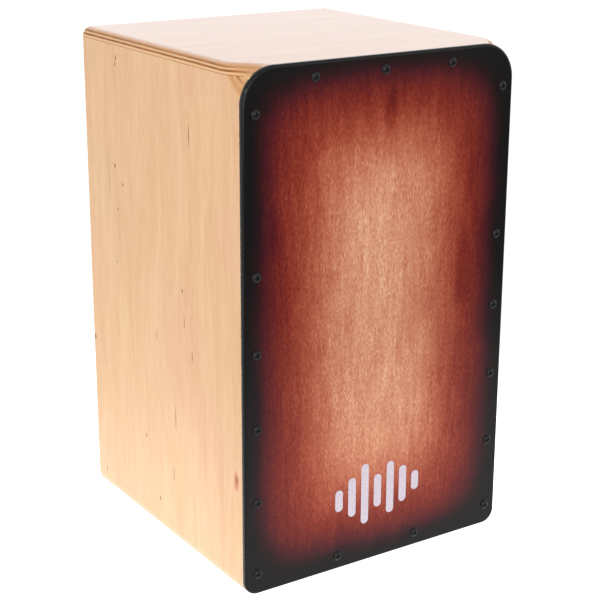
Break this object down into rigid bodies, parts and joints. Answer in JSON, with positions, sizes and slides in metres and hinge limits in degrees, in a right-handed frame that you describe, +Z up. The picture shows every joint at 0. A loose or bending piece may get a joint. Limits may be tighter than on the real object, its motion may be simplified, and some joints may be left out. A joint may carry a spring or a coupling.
{
  "type": "cajon",
  "caption": "Plywood box drum with a thin burst-lacquered front plate on screws, a round sound hole in the back, fixed snares inside and rubber feet.",
  "frame": {"origin": "on the floor, under the centre of the whole object: the middle of its width, and of its depth from screw heads to back", "axes": "+Z up, -Y out of the front plate, +Y out of the back board with the sound hole, +X to the right of someone who faces the front plate"},
  "size_m": [0.298, 0.3074, 0.5],
  "materials": {
    "birch_plywood": "satin clear varnish, pale birch with ply edges",
    "softwood": "bare planed spruce",
    "burst_lacquer": "semi-gloss lacquer, black edge fading through red-brown to an amber centre",
    "black_screws": "black, satin",
    "pale_print": "thin printed mark, satin",
    "zinc_steel": "zinc plated",
    "snare_steel": "bright steel",
    "black_rubber": "matt black"
  },
  "bodies": {
    "root": {"back_board": "birch_plywood", "bottom_board": "birch_plywood", "foot_front_left": "black_rubber", "foot_front_right": "black_rubber", "foot_rear_left": "black_rubber", "foot_rear_right": "black_rubber", "foot_screws": "zinc_steel", "foot_washers": "zinc_steel", "front_batten_bottom": "softwood", "front_batten_left": "softwood", "front_batten_right": "softwood", "front_batten_top": "softwood", "front_motif": "pale_print", "front_plate": "burst_lacquer", "front_plate_screws": "black_screws", "left_side_board": "birch_plywood", "rear_batten_bottom": "softwood", "rear_batten_left": "softwood", "rear_batten_right": "softwood", "rear_batten_top": "softwood", "right_side_board": "birch_plywood", "snare_bar": "softwood", "snare_bar_screws": "zinc_steel", "snare_block_left": "softwood", "snare_block_right": "softwood", "snare_plate_left": "snare_steel", "snare_plate_right": "snare_steel", "snare_plate_screws": "zinc_steel", "snare_wires_left": "snare_steel", "snare_wires_right": "snare_steel", "top_board": "birch_plywood"}
  },
  "joints": []
}
